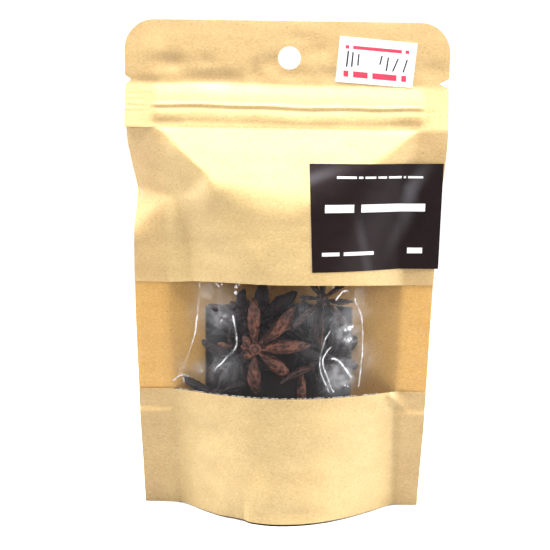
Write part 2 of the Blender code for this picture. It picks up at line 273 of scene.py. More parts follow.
# Waves all over the sheet: depth, width and height of a wave, and a seed.
UNEVEN = ((0.10, 9, 7, 3.1), (0.03, 2.6, 2.1, 7.7))
GUSSET_FOLD = 28.7           # the gusset's fold shows on the side seals at this height
GUSSET_STEP = 0.55           # it lifts each sheet of the seals by this much, less lower down


def line_dent(x, h, start, end, half, start_depth, end_depth):
    """Depth of a straight crease at a point."""
    run = (end[0] - start[0], end[1] - start[1])
    length = math.hypot(*run)
    t = min(max(((x - start[0]) * run[0] + (h - start[1]) * run[1]) / length ** 2, 0.0), 1.0)
    off = math.hypot(x - start[0] - t * run[0], h - start[1] - t * run[1])
    return (start_depth + t * (end_depth - start_depth)) * ease(1 - off / half)


def handling(x, h):
    """Everything that handling has pressed into the sheet at a point."""
    depth = sum(deep * math.exp(-((x - cx) / rx) ** 2 - ((h - ch) / rh) ** 2)
                for cx, ch, rx, rh, deep in DENTS if abs(h - ch) < 3 * rh and abs(x - cx) < 3 * rx)
    depth += sum(line_dent(x, h, *crease) for crease in CREASES
                 if min(crease[0][1], crease[1][1]) - 2 < h < max(crease[0][1], crease[1][1]) + 2)
    for deep, wide, tall, seed in UNEVEN:
        depth += deep * noise.noise(Vector((x / wide, h / tall, seed)))
    return depth


def gusset_step(x, h):
    """Extra thickness of the side seals where the gusset's folded edge is sealed in."""
    folded = ease((GUSSET_FOLD - h) / 0.6) * (0.3 + 0.7 * ease(h / (GUSSET_FOLD - 3)))
    return GUSSET_STEP * ease((abs(x) - bow_width(x, h)) / 1.5) * folded


@functools.lru_cache(maxsize=None)
def front_out(x, h):
    """How far the front sheet's outer face stands out at a point."""
    out = fin_line(h)
    if h < ZIP_FOLD:
        near_peak = math.exp(-((x - PEAK[0]) ** 2 + (h - PEAK[1]) ** 2) / PEAK_REACH ** 2)
        out += along(FRONT_BOW, h) * bow_share(x, h) + PEAK_RISE * near_peak
        below = ZIP_FOLD - h
        shoulder = fin_line(ZIP_FOLD) + SHOULDER_SLOPE * below
        out = smooth_min(out, shoulder, min(0.15 + 0.1 * below, SHOULDER_SOFT))
        if x < PUSHED_RIGHT and h > PUSHED_LOW:
            dying_out = SOFTEST * ease((PUSHED_LOW + PUSHED_FADE - h) / PUSHED_FADE)
            soft = min(PUSHED_SOFT + SOFTER_BELOW * max(PEAK[1] - h, 0), SOFTEST)
            out = smooth_min(out, pushed_in(x, h) + dying_out, soft)
    return out + gusset_step(x, h) + zip_relief(x, h) - handling(x, h) + SHEET


def lifted(x, row):
    """Height of a point of the front sheet, which its bow has drawn up."""
    return row + along(LIFT, row) * bow_share(x, row)


def spread(low, high, step):
    """Evenly spaced values from low to high, about a step apart."""
    count = max(round((high - low) / step), 1)
    return [low + (high - low) * i / count for i in range(count + 1)]


BOW_COLUMN = 0.8             # columns further out than this lie on the side seals


def across(column, row):
    """x of a column, which keeps the side seals at their width at every height."""
    inner = bow_width(column, row)
    if abs(column) <= BOW_COLUMN:
        return column / BOW_COLUMN * inner
    beyond = (abs(column) - BOW_COLUMN) / (1 - BOW_COLUMN)
    return math.copysign(inner + beyond * (half_width(column, row) - inner), column)


def all_columns(bow_step, seal_step):
    """Columns from edge to edge, given their spacing on the bow and on the seals."""
    bow = spread(-BOW_COLUMN, BOW_COLUMN, bow_step / 35 * BOW_COLUMN)
    seal = spread(BOW_COLUMN, 1.0, seal_step / 9 * (1 - BOW_COLUMN))[1:]
    return [-column for column in reversed(seal)] + bow + seal


def punch_hang_hole(bm):
    """Cut the round hang hole through a flat grid of faces."""
    x, h, radius = HANG_HOLE
    middle = Vector((x, h, 0))
    inside = [face for face in bm.faces if (face.calc_center_median() - middle).length < radius]
    bmesh.ops.delete(bm, geom=inside, context="FACES")
    for vert in bm.verts:
        if vert.is_boundary and (vert.co - middle).length < 2 * radius:
            vert.co = middle + (vert.co - middle).normalized() * radius


def curved_sheet(name, columns, rows, flat, place, cut=None):
    """Closed thin sheet. A grid is laid flat, cut and given a second side, and each of
    its points is put where place(x, row, side) says. The second side has material 1."""
    bm = bmesh.new()
    bmesh.ops.create_grid(bm, x_segments=len(columns) - 1, y_segments=len(rows) - 1, size=0.5)
    for vert in bm.verts:
        column = columns[round((vert.co.x + 0.5) * (len(columns) - 1))]
        row = rows[round((vert.co.y + 0.5) * (len(rows) - 1))]
        vert.co = (flat(column, row), row, 0)
    if cut:
        cut(bm)
    second = bmesh.ops.extrude_face_region(bm, geom=bm.faces[:])["geom"]
    for item in second:
        if isinstance(item, bmesh.types.BMVert):
            item.co.z = 1
    for face in bm.faces:
        face.material_index = 1 if all(vert.co.z > 0.5 for vert in face.verts) else 0
    for vert in bm.verts:
        vert.co = Vector(place(*vert.co)) * MM
    bmesh.ops.recalc_face_normals(bm, faces=bm.faces[:])
    return piece_from(name, bm)


def piece_from(name, bm, sharp=50):
    """Object at the origin from a bmesh, smooth but for edges sharper than an angle."""
    mesh = bpy.data.meshes.new(name)
    bm.to_mesh(mesh)
    bm.free()
    mesh.shade_smooth()
    mesh.set_sharp_from_angle(angle=math.radians(sharp))
    piece = bpy.data.objects.new(name, mesh)
    bpy.context.scene.collection.objects.link(piece)
    return piece


def fit(piece, materials, slot, *nodes):
    """Give a piece its materials and its place in the frame."""
    for material in materials:
        piece.data.materials.append(material)
    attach(piece, "root")
    if nodes:
        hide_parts(*nodes)
    return piece


def linear(code):
    """Linear colour of an sRGB hex value."""
    parts = [int(code[i:i + 2], 16) / 255 for i in (1, 3, 5)]
    return tuple(p / 12.92 if p <= 0.04045 else ((p + 0.055) / 1.055) ** 2.4 for p in parts) + (1.0,)


def add_node(owner, kind, settings, inputs):
    """One shader node of a material or world with its settings, and each input set or linked."""
    made = owner.node_tree.nodes.new("ShaderNode" + kind)
    for name, value in settings.items():
        setattr(made, name, value)
    for name, value in inputs.items():
        if isinstance(value, bpy.types.NodeSocket):
            owner.node_tree.links.new(value, made.inputs[name])
        else:
            made.inputs[name].default_value = value
    return made


def new_material(name):
    """Empty material, and the object coordinates that its textures lie in."""
    material = bpy.data.materials.new(name)
    material.use_nodes = True
    material.node_tree.nodes.clear()
    where = add_node(material, "TexCoord", {}, {}).outputs["Object"]
    return material, where


def noise_at(material, where, size, detail):
    """Noise with lumps of about that many millimetres."""
    made = add_node(material, "TexNoise", {}, {"Vector": where, "Scale": 1 / (size * MM), "Detail": detail})
    return made.outputs["Fac"]


def ramp(material, value, start, end, low=0.0, high=1.0):
    """low where a value is at start, high where it is at end, and held beyond them."""
    return add_node(material, "MapRange", {}, {
        "Value": value, "From Min": start, "From Max": end, "To Min": low, "To Max": high}).outputs["Result"]


def calculate(material, operation, *values, clamp=False):
    """Result of a sum on one or two values, which may be clamped to 0 and 1."""
    settings = {"operation": operation, "use_clamp": clamp}
    return add_node(material, "Math", settings, dict(enumerate(values))).outputs["Value"]


def mixed(material, share, first, second, blend="MIX"):
    """Mix of two colours, each an sRGB hex value or linked."""
    first, second = (linear(colour) if isinstance(colour, str) else colour for colour in (first, second))
    return add_node(material, "MixRGB", {"blend_type": blend}, {
        "Fac": share, "Color1": first, "Color2": second}).outputs["Color"]


def attribute(material, name):
    """Value that is painted on the points under this name."""
    return add_node(material, "Attribute", {"attribute_name": name}, {}).outputs["Fac"]


def bumps(material, height, strength, tall):
    """Normal of a fine relief of that many millimetres."""
    return add_node(material, "Bump", {}, {
        "Height": height, "Strength": strength, "Distance": tall * MM}).outputs["Normal"]


def surface(material, shader):
    """Link a shader to the material's output."""
    add_node(material, "OutputMaterial", {}, {"Surface": shader})


def coat(material, tone, roughness, specular=0.5, normal=None):
    """Give the material a surface of this tone, roughness and shine."""
    inputs = {"Base Color": tone, "Roughness": roughness, "Specular IOR Level": specular}
    if normal:
        inputs["Normal"] = normal
    surface(material, add_node(material, "BsdfPrincipled", {}, inputs).outputs["BSDF"])


# Kraft paper, machine-made: long fibres that lie mostly across the pouch give it a fine
# streaky grain and a few dark shives, on a matt face that only shines at a flat angle.
# Where it is heat-sealed to the other sheet it is a little redder, and the film-coated
# inner face is shinier and more orange. On that inner face the loose paper is painted greyer
# as shade inside the pouch, and its light tone partly paints light shining through the thin paper.
FIBRE = 0.32                 # width of a fibre bundle; the finer grain doesn't show
CLOUD = 4.0                  # size of the cloudy tone that the paper machine leaves
SHIVE = 0.34                 # spacing at which the dark shives are drawn
SEAL_X, SEAL_H = 34.5, HEADER_BEND   # it is sealed about here and further out or up


def kraft(name, light, dark, roughness, specular, loose, sealed, shade=None):
    """Kraft paper in a light and a dark tone, tinted where it is loose and where sealed.
    A function shade(material, where, tone) may paint shade on it in places."""
    material, where = new_material(name)
    lying = add_node(material, "Mapping", {}, {"Vector": where, "Scale": (0.4, 1, 1)}).outputs["Vector"]
    fibres = noise_at(material, lying, FIBRE, 3.0)
    grain = ramp(material, fibres, 0.3, 0.7, -0.1, 0.80)
    cloudy = ramp(material, noise_at(material, lying, CLOUD, 5.0), 0.32, 0.68, 0.0, 0.40)
    paper = mixed(material, calculate(material, "ADD", grain, cloudy), light, dark)
    shives = ramp(material, noise_at(material, where, SHIVE, 0.0), 0.75, 0.84, 0.0, 0.6)
    speckled = mixed(material, shives, paper, "#6b4a2a")
    place = add_node(material, "SeparateXYZ", {}, {"Vector": where})
    beside = calculate(material, "ABSOLUTE", place.outputs["X"])
    at_side = ramp(material, beside, (SEAL_X - 2) * MM, (SEAL_X + 1) * MM)
    at_header = ramp(material, place.outputs["Z"], (SEAL_H - 0.5) * MM, (SEAL_H + 0.5) * MM)
    tint = mixed(material, calculate(material, "MAXIMUM", at_side, at_header), loose, sealed)
    tone = mixed(material, 1.0, speckled, tint, "MULTIPLY")
    if shade:
        tone = shade(material, where, tone)
    coat(material, tone, roughness, specular, bumps(material, fibres, 0.35, 0.06))
    return material


# Light and dark tone, roughness, shine, then the tint where it is loose and where sealed.
MATT = ("#dabe84", "#c4a46e", 0.5, 0.9, "#ffffff", "#fffafa")
# On the film-coated face the greyer loose tint is painted shade, and its light tones are partly painted
# light.
FILM_COATED_PAINTED_SHADE = ("#fdcd78", "#e7b15e", 0.35, 0.5, "#f1efed", "#ffffff")
kraft_outside = kraft("kraft_paper_matt", *MATT)
kraft_inside = kraft("kraft_paper_film_coated", *FILM_COATED_PAINTED_SHADE)


def front_place(x, row, side):
    """Place of a point of the front sheet, on its outer or its inner face."""
    h = lifted(x, row)
    return x, -front_out(x, h) + side * SHEET, h


# Spacing of the mesh's rows, which is finer over the zip, the notches and the top corners.
ROW, FINE_ROW = 0.62, 0.3
zip_start, zip_end = ZIP_FOLD - 1.2, HEADER_BEND - 0.5
notch_end, corner_start = NOTCH_HEIGHT + 1.4, HEIGHT - 3
zip_rows = spread(zip_start, zip_end, FINE_ROW)
notch_rows = spread(zip_end, notch_end, FINE_ROW)[1:]
header_rows = spread(notch_end, corner_start, ROW)[1:] + spread(corner_start, HEIGHT, FINE_ROW)[1:]
top_rows = spread(WINDOW_TOP, zip_start, ROW)[:-1] + zip_rows + notch_rows + header_rows
front_columns = all_columns(ROW, 0.75)

front_top = curved_sheet("kraft_front_top", front_columns, top_rows, across, front_place, punch_hang_hole)
fit(front_top, (kraft_outside, kraft_inside), "kraft_paper", "pouch")
bottom_rows = spread(0, WINDOW_BOTTOM, ROW)
front_bottom = curved_sheet("kraft_front_bottom", front_columns, bottom_rows, across, front_place)
fit(front_bottom, (kraft_outside, kraft_inside), "kraft_paper", "pouch")

# ---------------------------------------------------------------------------
# Back sheet. The same kraft in one piece, with no window, sealed to the front sheet.
# Where the dark back label sits outside, the inner face is painted dark, as the shade that the label casts
# through the thin paper.

BETWEEN = 0.26               # room for the window film between the sealed sheets
SEALED_TO = 2.5              # where it bows less than this it follows the front sheet's dents
BACK_ZIP = 0.6               # share of the front's zip relief that shows at the back
BACK_UNEVEN = (0.14, 11, 8, 21.4)    # waves of the loose sheet: depth, width, height and a seed
PUSHED_AT_BACK = -15         # left of this the pushed-in corner presses on the back's seal


@functools.lru_cache(maxsize=None)
def back_out(x, h):
    """How far the back sheet's outer face stands out at the back."""
    bow = along(BACK_BOW, h) * bow_share(x, h)
    sealed = 1 - ease(bow / SEALED_TO)
    pressed = handling(x, h) * sealed
    if x < PUSHED_AT_BACK and PUSHED_LOW < h < ZIP_FOLD:
        pressed += max(fin_line(h) - pushed_in(x, h), 0.0) * sealed
    deep, wide, tall, seed = BACK_UNEVEN
    creased = deep * noise.noise(Vector((x / wide, h / tall, seed))) * (1 - sealed)
    return (bow - fin_line(h) + pressed + creased + gusset_step(x, h) + BACK_ZIP * zip_relief(x, h)
            + BETWEEN + SHEET)


def back_place(x, row, side):
    """Place of a point of the back sheet, on its inner or its outer face."""
    return x, back_out(x, row) - (1 - side) * SHEET, row


back_rows = spread(0, zip_start, 1.0)[:-1] + zip_rows + notch_rows + header_rows
back_sheet = curved_sheet("kraft_back", all_columns(0.9, 0.9), back_rows, across, back_place,
                          punch_hang_hole)

label_low, label_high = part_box("back_label")
LABEL_EDGE = 0.3             # half width of the dark patch's soft edge


def painted_label_shade(material, where, plain):
    """Tone of the inner face, with painted shade in a soft-edged rectangle behind the label outside."""
    place = add_node(material, "SeparateXYZ", {}, {"Vector": where})
    within = []
    for axis, low, high in (("X", label_low.x, label_high.x), ("Z", label_low.z, label_high.z)):
        middle, half = (low + high) / 2, (high - low) / 2
        off = calculate(material, "SUBTRACT", place.outputs[axis], middle)
        far = calculate(material, "ABSOLUTE", off)
        within.append(ramp(material, far, half - LABEL_EDGE * MM, half + LABEL_EDGE * MM, 1.0, 0.0))
    return mixed(material, calculate(material, "MULTIPLY", *within), plain, "#1f1c22")


shaded_kraft = kraft("kraft_paper_film_coated_shaded", *FILM_COATED_PAINTED_SHADE, shade=painted_label_shade)
fit(back_sheet, (shaded_kraft, kraft_outside), "kraft_paper", "pouch")

# ---------------------------------------------------------------------------
# Bottom gusset. A strip of the same kraft, folded upwards like a tent between the two
# sheets and sealed to them along its lower edges, so the pouch opens out and stands.

GUSSET_LEG = 28.8
GUSSET_SEAL = 0.35           # the gusset lies this far behind the skirts' inner faces
GUSSET_THICK = 0.18
GUSSET_LOW = 0.6             # height of its lower edges
FOLD_ROUND = 1.2             # the fold is rounded off by this much


def gusset_place(x, row, side):
    """Place on the gusset: row runs from -1 at the front skirt over the fold to 1."""
    reach = max((front_out(x, 1.0) if row < 0 else back_out(x, 1.0)) - SHEET - GUSSET_SEAL, 0.05)
    top = math.sqrt(max(GUSSET_LEG ** 2 - reach ** 2, 1.0))
    from_fold = abs(row)
    y = math.copysign(from_fold * reach, row)
    rounded_off = FOLD_ROUND * (1 - ease(from_fold * 6))
    h = GUSSET_LOW + top * (1 - from_fold) - rounded_off - 0.02 * side * top
    return x, y, max(h - GUSSET_THICK * side, GUSSET_LOW / 2)


inner_width = bow_width(-1, 2.0)
gusset = curved_sheet("kraft_gusset", spread(-inner_width + 0.5, inner_width, 1.4),
                      spread(-1, 1, 0.05), lambda column, row: column, gusset_place)
fit(gusset, (kraft_inside, kraft_outside), "kraft_paper", "pouch")

# The ends of its two legs are sealed in between the front and the back sheet at each side.
LEG_GAP = 0.03               # half of the share of the room between the sheets that parts them


def leg_end(name, side_sign, from_front, to_front):
    """End of one leg in a side seal, given the share of the room between the sheets."""
    def flat(column, row):
        inner, outer = bow_width(side_sign, row) + 0.6, half_width(side_sign, row) - 0.02
        return side_sign * (inner + column * (outer - inner))

    def place(x, row, side):
        front_y, back_y = SHEET - front_out(x, row), back_out(x, row) - SHEET
        return x, front_y + (back_y - front_y) * (from_front + side * (to_front - from_front)), row

    return curved_sheet(name, spread(0, 1, 0.1), spread(0, GUSSET_FOLD, 0.7), flat, place)


for side_name, side_sign in (("left", -1), ("right", 1)):
    for leg, from_front, to_front in (("front", 0.0, 0.5 - LEG_GAP), ("back", 0.5 + LEG_GAP, 1.0)):
        end = leg_end("kraft_gusset_%s_%s" % (leg, side_name), side_sign, from_front, to_front)
        fit(end, (kraft_outside, kraft_outside), "kraft_paper", "pouch")

# ---------------------------------------------------------------------------
# Window film. Clear polypropylene laminated behind the opening of the front sheet and
# sealed with it at both sides. It is glossy, and creased where the contents press on it.

FILM = 0.08
FILM_LAP = 2.4               # the film reaches this far behind the kraft
FILM_INSET = 0.06
LAP_BACK = 0.12              # the lap's edge lies this much further back

# Painted highlights along the film's creases, which also stand out a little. Half width of
# each crease, then its points: x, h and how bright its painted highlight is there.
PAINTED_CREASE_HIGHLIGHTS = (
    (0.32, ((-24.0, 66.3, 0.7), (-23.8, 65.0, 0.5))),
    (0.34, ((-24.0, 64.3, 0.12), (-24.0, 61.7, 0.25), (-24.3, 59.5, 0.4), (-24.3, 57.4, 0.6),
            (-24.6, 55.5, 0.9), (-24.8, 52.9, 1.0), (-25.4, 50.6, 0.9), (-26.0, 48.6, 0.7),
            (-26.6, 46.9, 0.4), (-27.3, 44.9, 0.35), (-28.2, 42.7, 0.3), (-29.4, 40.1, 0.3),
            (-30.5, 38.0, 0.3), (-31.8, 36.2, 0.4))),
    (0.32, ((-31.8, 36.2, 0.5), (-31.1, 37.3, 0.9), (-29.9, 38.5, 0.9), (-28.6, 39.0, 0.9),
            (-27.1, 39.0, 0.7))),
    (0.35, ((-28.7, 38.1, 0.7), (-28.3, 36.4, 0.5))),
    (0.34, ((-14.1, 58.1, 1.0), (-13.8, 56.7, 1.0), (-13.4, 54.9, 0.5), (-13.1, 53.1, 0.9),
            (-12.9, 51.0, 1.0), (-13.2, 49.5, 0.9), (-14.2, 47.9, 0.5), (-15.3, 46.9, 0.4),
            (-16.6, 45.2, 0.9), (-17.5, 44.1, 1.0), (-18.5, 43.2, 0.9), (-19.5, 41.5, 0.25))),
    (0.30, ((19.8, 63.2, 0.9), (20.2, 61.9, 0.8), (20.8, 60.8, 0.3), (21.5, 59.0, 0.9),
            (22.0, 57.1, 0.9), (22.2, 54.8, 0.7), (22.4, 52.6, 0.8), (22.4, 50.3, 0.6),
            (22.4, 47.6, 1.0), (22.3, 46.1, 1.0), (22.2, 44.2, 0.3), (22.0, 42.0, 0.8),
            (21.8, 39.7, 0.7), (21.6, 37.8, 0.6))),
    (0.28, ((13.1, 54.8, 0.3), (12.6, 53.7, 0.9), (11.8, 52.5, 0.9), (11.2, 50.4, 0.5),
            (10.7, 48.6, 0.5), (10.4, 46.8, 0.8), (10.3, 44.9, 0.9), (10.6, 43.0, 0.9),
            (11.3, 41.1, 0.8), (12.3, 38.8, 0.9), (13.1, 37.1, 0.8))),
    (0.34, ((13.6, 50.0, 0.5), (12.6, 49.2, 0.9), (11.8, 48.0, 0.9), (11.1, 46.4, 1.0),
            (11.3, 44.5, 0.9), (11.9, 42.9, 0.9), (12.6, 41.2, 0.6), (13.6, 38.3, 0.6),
            (14.4, 37.1, 0.8))),
    (0.44, ((13.7, 46.6, 0.9), (14.6, 46.4, 1.0), (15.7, 45.7, 1.0), (16.8, 44.4, 1.0),
            (17.8, 43.0, 1.0), (18.6, 41.8, 0.8), (19.4, 40.6, 0.5))),
    (0.36, ((14.5, 63.2, 1.0), (15.1, 64.1, 1.0), (15.8, 64.8, 0.9), (16.4, 65.5, 0.8),
            (17.7, 65.5, 1.0))),
    (0.32, ((-19.2, 66.6, 0.6), (-18.3, 65.7, 0.7))),
    (0.22, ((-20.8, 47.9, 0.12), (-17.7, 43.7, 0.2), (-14.7, 41.6, 0.2), (-11.7, 40.3, 0.1))),
    (0.22, ((14.6, 60.4, 0.15), (16.9, 58.2, 0.2), (19.6, 55.3, 0.3))),
)
# Small painted highlights in dents: x, h, reach and how bright.
PAINTED_DENT_HIGHLIGHTS = (
    (18.5, 54.8, 0.92, 1.0), (17.4, 54.5, 0.64, 0.8), (19.3, 55.2, 0.57, 1.0), (18.2, 51.4, 0.78, 1.0),
    (18.8, 51.8, 0.64, 1.0), (17.2, 51.7, 0.49, 0.6), (-13.3, 66.2, 0.71, 0.8), (-12.5, 66.9, 0.49, 0.6),
    (-13.4, 64.5, 0.57, 1.0), (-13.8, 62.9, 0.39, 0.8), (-17.4, 66.5, 0.35, 0.7), (17.6, 38.5, 0.46, 0.7),
    (18.4, 38.2, 0.36, 0.8), (14.4, 37.3, 0.36, 0.8), (13.7, 66.7, 0.34, 0.6), (-16.5, 57.8, 0.78, 0.4),
    (-17.3, 56.5, 0.57, 0.4), (-23.0, 41.2, 0.57, 0.5), (14.2, 61.4, 0.49, 0.4), (13.1, 57.7, 0.49, 0.3),
    (13.1, 55.7, 0.42, 0.4), (-21.9, 50.7, 0.36, 0.3), (-28.5, 37.6, 0.36, 0.6))
# Soft painted reflections on the film: x, h, reach and how bright.
PAINTED_REFLECTIONS = (
    (-17.5, 57.0, 3.2, 0.05), (-18.7, 62.7, 4.2, 0.05), (-22.5, 63.0, 3.2, 0.04), (-23.5, 41.9, 2.1, 0.06),
    (16.9, 57.9, 3.9, 0.07), (18.1, 53.3, 3.2, 0.14), (16.2, 41.1, 3.9, 0.17), (-16.6, 43.5, 3.5, 0.07),
    (-20.4, 53.1, 2.8, 0.04), (7.0, 59.4, 4.6, 0.04), (21.7, 60.5, 2.8, 0.05), (20.5, 64.3, 2.5, 0.04),
    (-23.9, 57.4, 2.8, 0.04), (-29.0, 41.4, 2.5, 0.04), (22.5, 46.0, 3.5, 0.07), (8.0, 50.0, 4.0, 0.02))
CREASE_TALL = 0.3            # height of a crease that is wholly white
# Above 1, a weak crease gets less painted highlight than its share.
HIGHLIGHT_FALL = 1.8             # above 1 a weak crease whitens the film less than its share


def rounded(points, parts=3):
    """A line's points with more of them between, on a smooth curve through them all."""
    last = len(points) - 1
    fine = []
    for i in range(last):
        before, start, end, after = (Vector(points[min(max(i + k, 0), last)]) for k in (-1, 0, 1, 2))
        for t in (part / parts for part in range(parts)):
            fine.append(tuple(0.5 * (2 * start + (end - before) * t
                                     + (2 * before - 5 * start + 4 * end - after) * t ** 2
                                     + (3 * start - before - 3 * end + after) * t ** 3)))
    return fine + [points[-1]]


SMOOTH_CREASE_HIGHLIGHTS = [(half, rounded(points)) for half, points in PAINTED_CREASE_HIGHLIGHTS]


def streak(x, h, half, points):
    """Strength at a point of a soft line, given as points with x, h and a strength."""
    strength = 0.0
    for start, end in zip(points, points[1:]):
        if min(start[1], end[1]) - half < h < max(start[1], end[1]) + half:
            strength = max(strength, line_dent(x, h, start[:2], end[:2], half, start[2], end[2]))
    return strength


@functools.lru_cache(maxsize=None)
def crease_highlight(x, h):
    """How strong the painted highlights of the creases and dents are at a point."""
    white = max(streak(x, h, half, points) for half, points in SMOOTH_CREASE_HIGHLIGHTS)
    white *= min(max(0.92 + 0.7 * noise.noise(Vector((x / 0.8, h / 1.1, 8.8))), 0.3), 1.0)
    for at_x, at_h, reach, strong in PAINTED_DENT_HIGHLIGHTS:
        off = math.hypot(x - at_x, h - at_h) / reach
        if off < 1:
            broken = min(max(0.8 + 1.4 * noise.noise(Vector((x / 0.5, h / 0.4, 2.2))), 0.0), 1.0)
            white = max(white, strong * broken * ease(1.6 * (1 - off)))
    return max(white, 0.0) ** HIGHLIGHT_FALL


def film_highlight(x, h):
    """How strong the film's painted highlights and painted reflections are at a point."""
    haze_and_painted_highlight = sum(strong * math.exp(-((x - at_x) ** 2 + (h - at_h) ** 2) / reach ** 2)
               for at_x, at_h, reach, strong in PAINTED_REFLECTIONS)
    haze_and_painted_highlight *= 1 + noise.noise(Vector((x / 1.6, h / 1.2, 5.5)))
    return min(crease_highlight(round(x, 3), round(h, 3)) + haze_and_painted_highlight, 1.0)


def paint(piece, name, value):
    """Float attribute on a piece's points, from each point's x and h."""
    layer = piece.data.attributes.new(name, "FLOAT", "POINT")
    layer.data.foreach_set("value", [value(vert.co.x / MM, vert.co.z / MM) for vert in piece.data.vertices])


def film_relief(x, h):
    """How far the film stands out at a point."""
    slack = 0.16 * noise.noise(Vector((x / 7, h / 11, 1.7))) * bow_share(x, h)
    return CREASE_TALL * crease_highlight(round(x, 3), round(h, 3)) + slack


def film_place(x, row, side):
    """Place of a point of the film, just behind the kraft."""
    h = lifted(x, row)
    clear_of_edge = ease((row - WINDOW_BOTTOM) / 1.5) * ease((WINDOW_TOP - row) / 1.5)
    under_lap = max(WINDOW_BOTTOM - row, row - WINDOW_TOP, 0.0) / FILM_LAP
    relief = film_relief(x, h) * clear_of_edge
    out = front_out(x, h) - SHEET - FILM_INSET - LAP_BACK * under_lap + relief
    return x, -out + side * FILM, h


window_film = curved_sheet("window_film", all_columns(0.22, 1.0),
                           spread(WINDOW_BOTTOM - FILM_LAP, WINDOW_TOP + FILM_LAP, 0.3), across, film_place)
paint(window_film, "white", film_highlight)

# Bright clear film: it mirrors the lights by Fresnel at the index of polypropylene, and
# else lets the view through but for a faint milky haze and its painted white highlights.
clear_film = new_material("clear_polypropylene_film")[0]
see_through = add_node(clear_film, "BsdfTransparent", {}, {"Color": (0.97, 0.97, 0.98, 1)})
haze_and_painted_highlight = add_node(clear_film, "BsdfDiffuse", {}, {"Color": (0.84, 0.84, 0.86, 1)})
haze_and_highlight_share = calculate(clear_film, "ADD", attribute(clear_film, "white"), 0.007, clamp=True)
milky_and_highlighted = add_node(clear_film, "MixShader", {}, {0: haze_and_highlight_share, 1: see_through.outputs[0], 2: haze_and_painted_highlight.outputs[0]})
gloss = add_node(clear_film, "BsdfGlossy", {}, {"Color": (1, 1, 1, 1), "Roughness": 0.03})
edge_on = add_node(clear_film, "Fresnel", {}, {"IOR": 1.49})
facing = add_node(clear_film, "NewGeometry", {}, {})
mirrored = calculate(clear_film, "SUBTRACT", edge_on.outputs["Fac"], facing.outputs["Backfacing"], clamp=True)
film_shader = add_node(clear_film, "MixShader", {}, {0: mirrored, 1: milky_and_highlighted.outputs[0], 2: gloss.outputs[0]})
surface(clear_film, film_shader.outputs[0])
fit(window_film, (clear_film, clear_film), "clear_film", "window_film")

# ---------------------------------------------------------------------------
# Painted lines along the window's lower edge, on the film beside the cut kraft: a thin
# strip with a painted glint in white dashes, over a dark strip of painted shadow along the cut.

EDGE_LINE_FROM, EDGE_LINE_TO = -31.5, 27.5
# How far above the cut each line starts, its width, and its painted glint colour in the dashes.
PAINTED_EDGE_LINES = (("glint_strip", 0.14, 0.12, "#d4d0d0"), ("cut", 0.0, 0.13, "#3a312e"))
EDGE_LINE_THICK, EDGE_LINE_INSET = 0.14, 0.05
GLINT_DASH = 0.9              # length of a dash


def painted_edge_strip(name, low, wide):
    """Thin line that lies on the film beside the cut edge."""
    def place(x, row, side):
        h = lifted(x, WINDOW_BOTTOM + low + row * wide)
        return x, -front_out(x, h) + SHEET - EDGE_LINE_THICK - EDGE_LINE_INSET + side * EDGE_LINE_THICK, h

    return curved_sheet(name, spread(EDGE_LINE_FROM, EDGE_LINE_TO, 0.4), (0, 0.5, 1), lambda column, row: column,
                        place)


# Brown-grey painted shadow, with painted glints in dashes where the glint colour is light.
for name, low, wide, painted_glint in PAINTED_EDGE_LINES:
    painted_edge, where = new_material("painted_edge_" + name)
    along_edge = add_node(painted_edge, "Mapping", {}, {"Vector": where, "Scale": (1, 0.1, 0.1)})
    dashes = noise_at(painted_edge, along_edge.outputs["Vector"], GLINT_DASH, 1.0)
    painted_glint_share = ramp(painted_edge, dashes, 0.42, 0.58)
    coat(painted_edge, mixed(painted_edge, painted_glint_share, "#3a312e", painted_glint), 0.25, 0.6)
    fit(painted_edge_strip("window_painted_edge_" + name, low, wide), (painted_edge, painted_edge), "clear_film")

# ---------------------------------------------------------------------------
# Star anise. Dried fruits of eight woody boat-shaped husks round a small boss, each
# husk split along one edge. They fill the pouch loosely and press against the film.

CARPELS = 8
HUSK_WIDTH, HUSK_DEEP = 3.6, 4.2
BOSS_RADIUS = 1.7
# Width of a husk as a share of its widest, along its length from its narrow neck.
HUSK_OUTLINE = ((0, 0.30), (0.12, 0.36), (0.34, 0.78), (0.56, 1.0), (0.76, 0.84), (0.9, 0.50), (0.97, 0.28),
                (1, 0))
WRINKLE = 1.1                # spacing of the wrinkles on a husk
WRINKLE_TALL = 0.30
BACK_DEEP, SLIT_SIDE_DEEP = 0.70, 0.30   # shares of its depth behind and before its neck
SLIT_HALF = 0.34             # half width of the slit, as a share of the husk's
SLIT_DEEP = 1.9
BEAK_FROM, BEAK_RISE = 0.82, 1.1     # share of its length where its tip turns up, and by how much
NECK_OUT = 0.6               # a husk's neck starts this far from the star's middle
FULL_LENGTH = 11             # a shorter husk is also narrower and flatter

